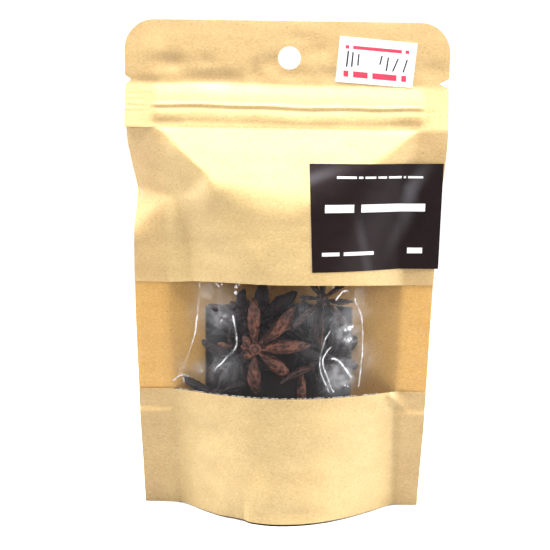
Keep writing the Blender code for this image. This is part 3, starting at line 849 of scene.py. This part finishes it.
# Name, then x, y (back is positive) and h of the centre, the husks' lengths from the right
# one round clockwise, turn about the star's own axis, tilt back, swing to the side, which
# way the slits face (1 to the front), how wide the husks are to the usual, and the tone.
STARS = (
    ("middle", (-7.9, -5.6, 48.5), (15.2, 13.4, 14.0, 4.0, 3.6, 4.2, 13.8, 15.8), -2, 4, 0, -1, 1.0, "red"),
    ("upper", (-7.0, -1.2, 55.0), (11, 9, 8, 9, 8, 9, 11.5, 13.4), 5, 6, -4, -1, 1.15, "dark"),
    ("right", (11.2, -4.4, 62.5), (8.2, 10.6, 14.0, 11.8, 6.8, 10, 11, 12), 8, -14, 18, 1, 0.46, "brown"),
    ("upper_left", (-13.0, -2.8, 57.6), (6, 6, 7, 6, 8.2, 3.4, 6.8, 4.5), 15, 0, 8, -1, 0.95, "dark"),
    ("left", (-12.2, -1.4, 44.4), (9, 10, 11, 10.5, 11.8, 7, 9, 9), 20, 4, -8, -1, 0.85, "dark"),
    ("lower_left", (-18.6, -1.4, 33.9), (10, 8, 8, 9, 10.6, 6, 8, 9), 22, 0, -9, -1, 0.7, "dark"),
    ("lower_right", (13.0, 1.0, 44.0), (9, 10, 11, 10, 10.5, 11, 10, 9.5), 17, -5, 8, -1, 1.0, "dark"),
    ("bottom", (6.3, -5.0, 29.0), (9, 9, 9, 9, 8, 6.4, 11.6, 6.2), -4, 4, 6, -1, 0.72, "red"),
    ("behind_left", (-9.0, 4.6, 49.0), (13, 12, 13.5, 12.4, 13, 12, 13.2, 12.6), 12, 4, 5, 1, 1.0, "dark"),
    ("behind_right", (8.5, 4.4, 47.0), (12.6, 13.2, 12, 13, 12.4, 13.4, 12, 13), 34, -4, -6, 1, 1.0, "dark"),
)
# Husks that have broken off: x, y, h of the neck, length, turn (0 points right, 90 up),
# which way the slit faces, width and tone.
LOOSE_HUSKS = (
    ("lower", (-0.6, -7.6, 38.6), 11.0, 28, 1, 0.42, "brown"),
    ("left", (-14.4, -5.0, 48.6), 4.4, 172, -1, 0.62, "red"),
    ("high", (-0.4, -5.0, 53.7), 2.7, 14, -1, 0.5, "red"),
)


def shape_husk(bm, verts, length, slit_side, breadth, seed):
    """Turn a unit ball whose poles lie along X into a husk that starts at the origin."""
    ridge_layer = bm.verts.layers.float["wrinkle"]
    small = min(0.4 + 0.6 * length / FULL_LENGTH, 1.0)
    bend = 0.05 * length * math.sin(seed * 3.1)
    for vert in verts:
        t = min(max((vert.co.x + 1) / 2, 0.0), 1.0)
        wide = max(along(HUSK_OUTLINE, t), 0.0)
        deep = max(math.sin(math.pi * (0.06 + 0.94 * t) ** 0.95), 0.0) ** 0.7
        ring = math.hypot(vert.co.y, vert.co.z) or 1.0
        to_slit, to_side = vert.co.y / ring, vert.co.z / ring
        half_wide = HUSK_WIDTH / 2 * breadth * small * wide * (1 - 0.25 * to_slit)
        depth = HUSK_DEEP * (BACK_DEEP if to_slit < 0 else SLIT_SIDE_DEEP) * small * deep * to_slit
        open_slit = 0.0
        if to_slit > 0:
            open_slit = max(1 - abs(to_side) / SLIT_HALF, 0.0) * math.sin(math.pi * t) ** 0.6
            depth += small * (0.25 * (1 - open_slit) - SLIT_DEEP * open_slit * wide)
        beak = BEAK_RISE * small * max(t - BEAK_FROM, 0.0) / (1 - BEAK_FROM)
        place = Vector((0.6 * t * length + seed, depth, half_wide * to_side))
        ridge = 1 - min(abs(noise.noise(place / WRINKLE)) / 0.32, 1.0)
        ridge = 0.7 * ridge + 0.5 * noise.noise(place / (0.4 * WRINKLE))
        lump = 0.9 * noise.noise(place / (3 * WRINKLE))
        raised = WRINKLE_TALL * (ridge - 0.3 + lump) * min(wide * 2, 1.0) * (1 - open_slit) * small
        vert[ridge_layer] = ridge + 0.4 * lump
        vert.co = (t * length, slit_side * (depth + beak + raised * to_slit),
                   half_wide * to_side + raised * to_side + bend * math.sin(math.pi * t))


def add_husk(bm, length, slit_side, breadth, seed, place):
    """Add one husk at a place, given as a matrix."""
    ball = bmesh.ops.create_uvsphere(bm, u_segments=40, v_segments=44, radius=1)["verts"]
    bmesh.ops.rotate(bm, verts=ball, cent=(0, 0, 0), matrix=Matrix.Rotation(math.pi / 2, 3, "Y"))
    shape_husk(bm, ball, length, slit_side, breadth, seed)
    bmesh.ops.transform(bm, verts=ball, matrix=place)


def anise_piece(name, bm):
    """Finished piece from a bmesh in millimetres."""
    bmesh.ops.transform(bm, verts=bm.verts[:], matrix=Matrix.Diagonal((MM, MM, MM, 1)))
    bmesh.ops.recalc_face_normals(bm, faces=bm.faces[:])
    return piece_from("star_anise_" + name, bm, 80)


def make_star(name, at, lengths, spin, tilt, swing, slit_side, breadth):
    """One dried star, at its place in the pouch."""
    turned = (Matrix.Translation(Vector(at)) @ Matrix.Rotation(math.radians(swing), 4, "Z")
              @ Matrix.Rotation(math.radians(tilt), 4, "X") @ Matrix.Rotation(math.radians(spin), 4, "Y"))
    bm = bmesh.new()
    ridge_layer = bm.verts.layers.float.new("wrinkle")
    for i, length in enumerate(lengths):
        turn = Matrix.Rotation(2 * math.pi * i / CARPELS, 4, "Y") @ Matrix.Translation((NECK_OUT, 0, 0))
        add_husk(bm, length, -slit_side, breadth, 7.3 * i + sum(lengths), turned @ turn)
    boss = bmesh.ops.create_icosphere(bm, subdivisions=4, radius=BOSS_RADIUS)["verts"]
    for vert in boss:
        rings = math.sin(math.hypot(vert.co.x, vert.co.z) * 5.5)
        vert[ridge_layer] = 0.4 + 0.4 * rings
        vert.co *= 1 + 0.16 * noise.noise(vert.co * 1.4 + Vector((lengths[0], 0, 0))) + 0.05 * rings
    bmesh.ops.translate(bm, verts=boss, vec=(0, 0.9 * slit_side, 0))
    bmesh.ops.transform(bm, verts=boss, matrix=turned)
    return anise_piece(name, bm)


def make_loose(name, at, length, turn, slit_side, breadth):
    """One husk that has broken off a star."""
    bm = bmesh.new()
    bm.verts.layers.float.new("wrinkle")
    place = Matrix.Translation(Vector(at)) @ Matrix.Rotation(-math.radians(turn), 4, "Y")
    add_husk(bm, length, -slit_side, breadth, length + turn, place)
    return anise_piece("husk_" + name, bm)


def husk(name, creased, ribbed, dusty):
    """Dried woody husk: painted highlights lighten its ribs, painted shade darkens its wrinkles, and it is
    greyed in dusty patches.
    """
    material, where = new_material(name)
    rough = noise_at(material, where, 0.35, 3.0)
    # Painted highlight and shade: the colour lightens on the ribs and darkens into the wrinkles.
    raised = ramp(material, attribute(material, "wrinkle"), 0.12, 0.75, 0.0, 0.9)
    grainy = ramp(material, rough, 0.35, 0.7, 0.0, 0.35)
    brown = mixed(material, calculate(material, "ADD", raised, grainy, clamp=True), creased, ribbed)
    greyed = ramp(material, noise_at(material, where, 4, 2.0), 0.42, 0.65, 0.0, 0.6)
    coat(material, mixed(material, greyed, brown, dusty), 0.6, 0.3, bumps(material, rough, 0.6, 0.12))
    return material


# Three tones of husk: red-brown and brown for the stars nearest the film, and nearly black
# with a grey bloom for those further in.
husks = {"red": husk("dried_star_anise_husk_red", "#22120e", "#8a5541", "#402c26"),
         "brown": husk("dried_star_anise_husk_brown", "#1a1110", "#624339", "#302625"),
         "dark": husk("dried_star_anise_husk_dark", "#120d0e", "#3c2c2f", "#262125")}
for name, at, lengths, spin, tilt, swing, slit_side, breadth, tone in STARS:
    star = make_star(name, at, lengths, spin, tilt, swing, slit_side, breadth)
    fit(star, (husks[tone],), "star_anise", "star_anise")
for name, at, length, turn, slit_side, breadth, tone in LOOSE_HUSKS:
    broken = make_loose(name, at, length, turn, slit_side, breadth)
    fit(broken, (husks[tone],), "star_anise", "star_anise")

# ---------------------------------------------------------------------------
# Labels. Self-adhesive stickers of printed film or paper, pressed on after filling: a
# black one on the front and one on the back, and a white price sticker on the header.

LABEL = 0.10                 # thickness of a sticker
STUCK = 0.03                 # it lies this far off the sheet
PRINT = 0.02                 # thickness of the ink
PRINT_OUT = STUCK + LABEL + 0.005


def stuck_on(name, corners, face, out_low, thick, step=0.7, columns=None, rows=None, cut=None):
    """Thin patch between four corners (from lower left round to upper left) on a face.
    It lies out_low above the face and is that thick."""
    wide = max(math.dist(corners[0], corners[1]), math.dist(corners[3], corners[2]))
    tall = max(math.dist(corners[0], corners[3]), math.dist(corners[1], corners[2]))

    def place(a, b, side):
        low = [corners[0][k] * (1 - a) + corners[1][k] * a for k in (0, 1)]
        high = [corners[3][k] * (1 - a) + corners[2][k] * a for k in (0, 1)]
        x, h = (low[k] * (1 - b) + high[k] * b for k in (0, 1))
        return face(x, h, out_low + (1 - side) * thick)

    return curved_sheet(name, columns or spread(0, 1, step / wide), rows or spread(0, 1, step / tall),
                        lambda column, row: column, place, cut)


def on_front(x, h, out):
    """Place that far out from the front sheet's face."""
    return x, -front_out(x, h) - out, h


LABEL_SPAN = (32.5, 43.9)    # between these the stiff label spans the edge of the bow
LABEL_CROWN = 0.5            # how strongly it arches there


def on_label(x, h, out):
    """Place that far out from the front label's underside, which bridges the hollow."""
    start, end = LABEL_SPAN
    under = front_out(x, h)
    if x > start:
        t = (x - start) / (end - start)
        bridge = front_out(start, h) * (1 - t) + front_out(end, h) * t
        under = max(under, bridge + LABEL_CROWN * t * (1 - t))
    return x, -under - out, h


def on_back(x, h, out):
    """Place that far out from the back sheet's face."""
    return x, back_out(x, h) + out, h


FRONT_LABEL_CORNERS = ((7.7, 71.0), (43.7, 70.9), (44.1, 100.7), (6.5, 100.5))
front_label = stuck_on("front_label", FRONT_LABEL_CORNERS, on_label, STUCK, LABEL)
back_low, back_high = label_low / MM, label_high / MM
back_corners = ((back_low.x, back_low.z), (back_high.x, back_low.z), (back_high.x, back_high.z),
                (back_low.x, back_high.z))
back_label = stuck_on("back_label", back_corners, on_back, STUCK, LABEL)

# Printed and varnished film: even black under a smooth clear skin.
black_gloss, where = new_material("black_varnished_label")
ripple = noise_at(black_gloss, where, 3.0, 2.0)
black = mixed(black_gloss, ripple, "#1c1314", "#281d1d")
# Painted sheen: its colour is lightened in soft streaks that stand for reflections on the varnish: half
# width, then x, h and strength.
PAINTED_SHEEN_STREAKS = ((2.4, ((5.0, 95.6, 0.16), (9.5, 97.4, 0.12), (16.5, 99.6, 0.02))),
          (3.4, ((39.0, 100.0, 0.05), (35.0, 93.5, 0.22), (33.4, 84.6, 0.08), (28.0, 75.0, 0.02))),
          (2.8, ((20.3, 87.4, 0.02), (21.4, 80.5, 0.10), (23.8, 69.0, 0.09))),
          (9.0, ((31.0, 101.0, 0.02), (26.0, 86.0, 0.04), (20.0, 70.0, 0.03))))
paint(front_label, "painted_sheen", lambda x, h: max(streak(x, h, half, points) for half, points in PAINTED_SHEEN_STREAKS))
# The label's colour is lightened along these streaks as painted sheen.
painted_sheen = mixed(black_gloss, attribute(black_gloss, "painted_sheen"), black, "#a3a1a8")
coat(black_gloss, painted_sheen, 0.28, 0.5, bumps(black_gloss, ripple, 0.25, 0.08))
fit(front_label, (black_gloss, black_gloss), "black_label", "front_label")
fit(back_label, (black_gloss, black_gloss), "black_label", "back_label")

PRICE_CORNERS = ((13.4, 122.8), (34.8, 121.4), (35.8, 133.5), (14.4, 135.2))
price_sticker = stuck_on("price_sticker", PRICE_CORNERS, on_front, STUCK, LABEL)
white_paper, where = new_material("white_sticker_paper")
pulp = noise_at(white_paper, where, 0.4, 3.0)
white = mixed(white_paper, pulp, "#f4f2f0", "#e8e6e6")
coat(white_paper, white, 0.45, 0.5, bumps(white_paper, pulp, 0.2, 0.03))
fit(price_sticker, (white_paper, white_paper), "white_sticker", "price_sticker")


def ink(name, colour):
    """Printing ink: a flat colour, a little broken up by the surface below it."""
    material, where = new_material(name)
    rough = ramp(material, noise_at(material, where, 0.5, 2.0), 0.3, 0.7, 0.35, 0.55)
    coat(material, linear(colour), rough)
    return material


white_ink = ink("white_ink", "#f2f0f0")
red_ink = ink("red_ink", "#d8415c")
dark_ink = ink("dark_pen_ink", "#2b2d3c")


def bar(x_low, x_high, h_low, h_high, slant=0.0):
    """Corners of a bar, whose right end is a little lower when slanted."""
    drop = slant * (x_high - x_low)
    return ((x_low, h_low), (x_high, h_low - drop), (x_high, h_high - drop), (x_low, h_high))


def print_words(name, corners, face, words, colour, node):
    """Row of plain bars where the words of a line are. Each word is its share of the row."""
    total = sum(words) + len(words) - 1
    edges = [0.0]
    for word in words:
        edges += [edges[-1] + word / total, edges[-1] + (word + 1) / total]
    columns = [0.0]
    for start, end in zip(edges[:-1], edges[1:-1]):
        columns += spread(start, end, 0.03)[1:]

    def keep_bars(bm):
        gaps = []
        for spot in bm.faces:
            passed = sum(edge < spot.calc_center_median().x for edge in edges)
            if passed % 2 == 0:
                gaps.append(spot)
        bmesh.ops.delete(bm, geom=gaps, context="FACES")

    row = stuck_on(name, corners, face, PRINT_OUT, PRINT, columns=columns, rows=(0, 0.5, 1), cut=keep_bars)
    fit(row, (colour, colour), "white_sticker", node)


LABEL_ROWS = (("line", bar(14.1, 38.4, 96.6, 97.2), (9, 2, 5, 4, 6, 1, 7)),
              ("title", bar(10.9, 39.3, 87.3, 89.5), (4, 9)),
              ("maker", bar(10.3, 24.9, 75.4, 76.4), (4, 7)), ("weight", bar(34.6, 38.9, 75.4, 77.0), (3,)))
for name, corners, words in LABEL_ROWS:
    print_words("label_print_" + name, corners, on_label, words, white_ink, "front_label")

PRICE_SLANT = 0.075          # the price sticker's rows fall by this much per mm
PRICE_ROWS = (("top", bar(16.0, 33.6, 131.9, 132.8, PRICE_SLANT), (1, 13, 1)),
              ("bottom", bar(15.6, 33.0, 124.3, 125.9, PRICE_SLANT), (1, 3, 5, 1)))
for name, corners, words in PRICE_ROWS:
    print_words("price_print_" + name, corners, on_front, words, red_ink, "price_sticker")

# Strokes of a pen, without a meaning: the ends of each, from its foot to its head.
PEN_STROKES = (((16.2, 126.9), (16.6, 131.2)), ((17.6, 126.9), (17.9, 130.9)), ((19.3, 127.3), (19.5, 130.4)),
               ((25.4, 127.6), (25.9, 130.0)), ((27.2, 125.9), (27.7, 129.6)), ((29.0, 125.8), (30.4, 129.3)),
               ((31.9, 125.6), (32.9, 129.0)))
PEN_WIDTH = 0.42
for number, ((foot_x, foot_h), (head_x, head_h)) in enumerate(PEN_STROKES):
    corners = ((foot_x, foot_h), (foot_x + PEN_WIDTH, foot_h), (head_x + PEN_WIDTH, head_h), (head_x, head_h))
    stroke = stuck_on("price_pen_%d" % number, corners, on_front, PRINT_OUT, PRINT, 0.4)
    fit(stroke, (dark_ink, dark_ink), "white_sticker", "price_sticker")

# ---------------------------------------------------------------------------
# Stage. A white table, two long soft lights overhead, one in front, one at each side and
# two behind each side, and a camera a little above the pouch.

bm = bmesh.new()
bmesh.ops.create_grid(bm, x_segments=1, y_segments=1, size=3.0)
floor = piece_from("floor", bm)
table_top, where = new_material("white_table")
mottle = add_node(table_top, "TexNoise", {}, {"Vector": where, "Scale": 8.0})
table_tone = mixed(table_top, mottle.outputs["Fac"], "#f3f3f3", "#f8f8f8")
# Painted shade: ambient occlusion darkens the table's colour under the raised edge of the front sheet, where
# hardly any light gets.
crevice = add_node(table_top, "AmbientOcclusion", {"samples": 8}, {"Color": table_tone, "Distance": 3.5 * MM})
under_edge = ramp(table_top, crevice.outputs["AO"], 0.42, 0.66)
in_shade = mixed(table_top, 1.0, table_tone, under_edge, "MULTIPLY")
white_top = add_node(table_top, "BsdfDiffuse", {}, {"Color": in_shade})
# Far out, past the reach of the lamps, the table glows as white as it is near the pouch.
reach = add_node(table_top, "VectorMath", {"operation": "LENGTH"}, {0: where})
far_white = ramp(table_top, reach.outputs["Value"], 0.15, 0.7, 0.0, 1.1)
glow = add_node(table_top, "Emission", {}, {"Color": (1, 1, 1, 1), "Strength": far_white})
shown = add_node(table_top, "AddShader", {}, {0: white_top.outputs[0], 1: glow.outputs[0]})
# It sends less light back up to the pouch than it shows, as a small table would.
seen = add_node(table_top, "LightPath", {}, {})
sent_back = mixed(table_top, seen.outputs["Is Glossy Ray"], "#b0b0b0", "#5c5c5c")
grey_top = add_node(table_top, "BsdfDiffuse", {}, {"Color": sent_back})
table_mix = add_node(table_top, "MixShader", {}, {
    0: seen.outputs["Is Camera Ray"], 1: grey_top.outputs[0], 2: shown.outputs[0]})
surface(table_top, table_mix.outputs[0])
floor.data.materials.append(table_top)
floor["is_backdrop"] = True


def soft_light(name, at, aim, size, power, mirrored=True):
    """Rectangular soft light at a place, turned to a point. It may be left out of the
    reflections."""
    data = bpy.data.lights.new(name, "AREA")
    data.shape = "RECTANGLE"
    data.size, data.size_y = size
    data.energy = power
    light = bpy.data.objects.new(name, data)
    light.location = at
    light.rotation_euler = (Vector(aim) - Vector(at)).to_track_quat("-Z", "Y").to_euler()
    light.visible_glossy = mirrored
    bpy.context.scene.collection.objects.link(light)


soft_light("near_top", (0, 0.01, 0.225), (0, 0.01, 0), (0.26, 0.06), 1.74)
soft_light("top_front", (0, -0.10, 0.30), (0, 0, 0.10), (0.30, 0.08), 0.62)
soft_light("front", (0, -0.55, 0.30), (0, 0, 0.06), (0.30, 0.20), 0.95, mirrored=False)
soft_light("right", (0.38, -0.03, 0.16), (0, 0, 0.05), (0.16, 0.22), 1.35)
soft_light("left", (-0.38, -0.03, 0.16), (0, 0, 0.05), (0.16, 0.22), 0.6)
for side in (-1, 1):
    soft_light("high_behind", (0.26 * side, 0.08, 0.30), (0, 0, 0.05), (0.12, 0.16), 0.8)
    soft_light("low_behind", (0.30 * side, 0.10, 0.05), (0, 0, 0.03), (0.14, 0.08), 0.5)

world = bpy.data.worlds.new("white_room")
bpy.context.scene.world = world
world.use_nodes = True
world.node_tree.nodes.clear()
dim = add_node(world, "Background", {}, {"Color": (1, 1, 1, 1), "Strength": 0.08})
bright = add_node(world, "Background", {}, {"Color": (1, 1, 1, 1), "Strength": 1.2})
rays = add_node(world, "LightPath", {}, {})
room = add_node(world, "MixShader", {}, {
    0: rays.outputs["Is Camera Ray"], 1: dim.outputs[0], 2: bright.outputs[0]})
add_node(world, "OutputWorld", {}, {"Surface": room.outputs[0]})
bpy.context.scene.view_settings.view_transform = "Standard"

CAMERA_AT = (0, -0.2925, 0.1211)
CAMERA_LENS = 68.3
CAMERA_TILT, CAMERA_ROLL = 10.0, 0.85
SENSOR = 36.0
PICTURE = 550                # pixels across
OFFSET_RIGHT, OFFSET_UP = 9.2, 3.8   # pixels by which the pouch's middle is off centre
camera_data = bpy.data.cameras.new("camera")
camera_data.lens = CAMERA_LENS
camera_data.sensor_width = SENSOR
camera_data.shift_x = -OFFSET_RIGHT / PICTURE
camera_data.shift_y = -OFFSET_UP / PICTURE
camera_data.clip_start = 0.01
camera = bpy.data.objects.new("camera", camera_data)
camera.matrix_world = (Matrix.Translation(CAMERA_AT) @ Matrix.Rotation(math.radians(90 - CAMERA_TILT), 4, "X")
                       @ Matrix.Rotation(math.radians(CAMERA_ROLL), 4, "Z"))
bpy.context.scene.collection.objects.link(camera)
bpy.context.scene.camera = camera

low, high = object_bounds()
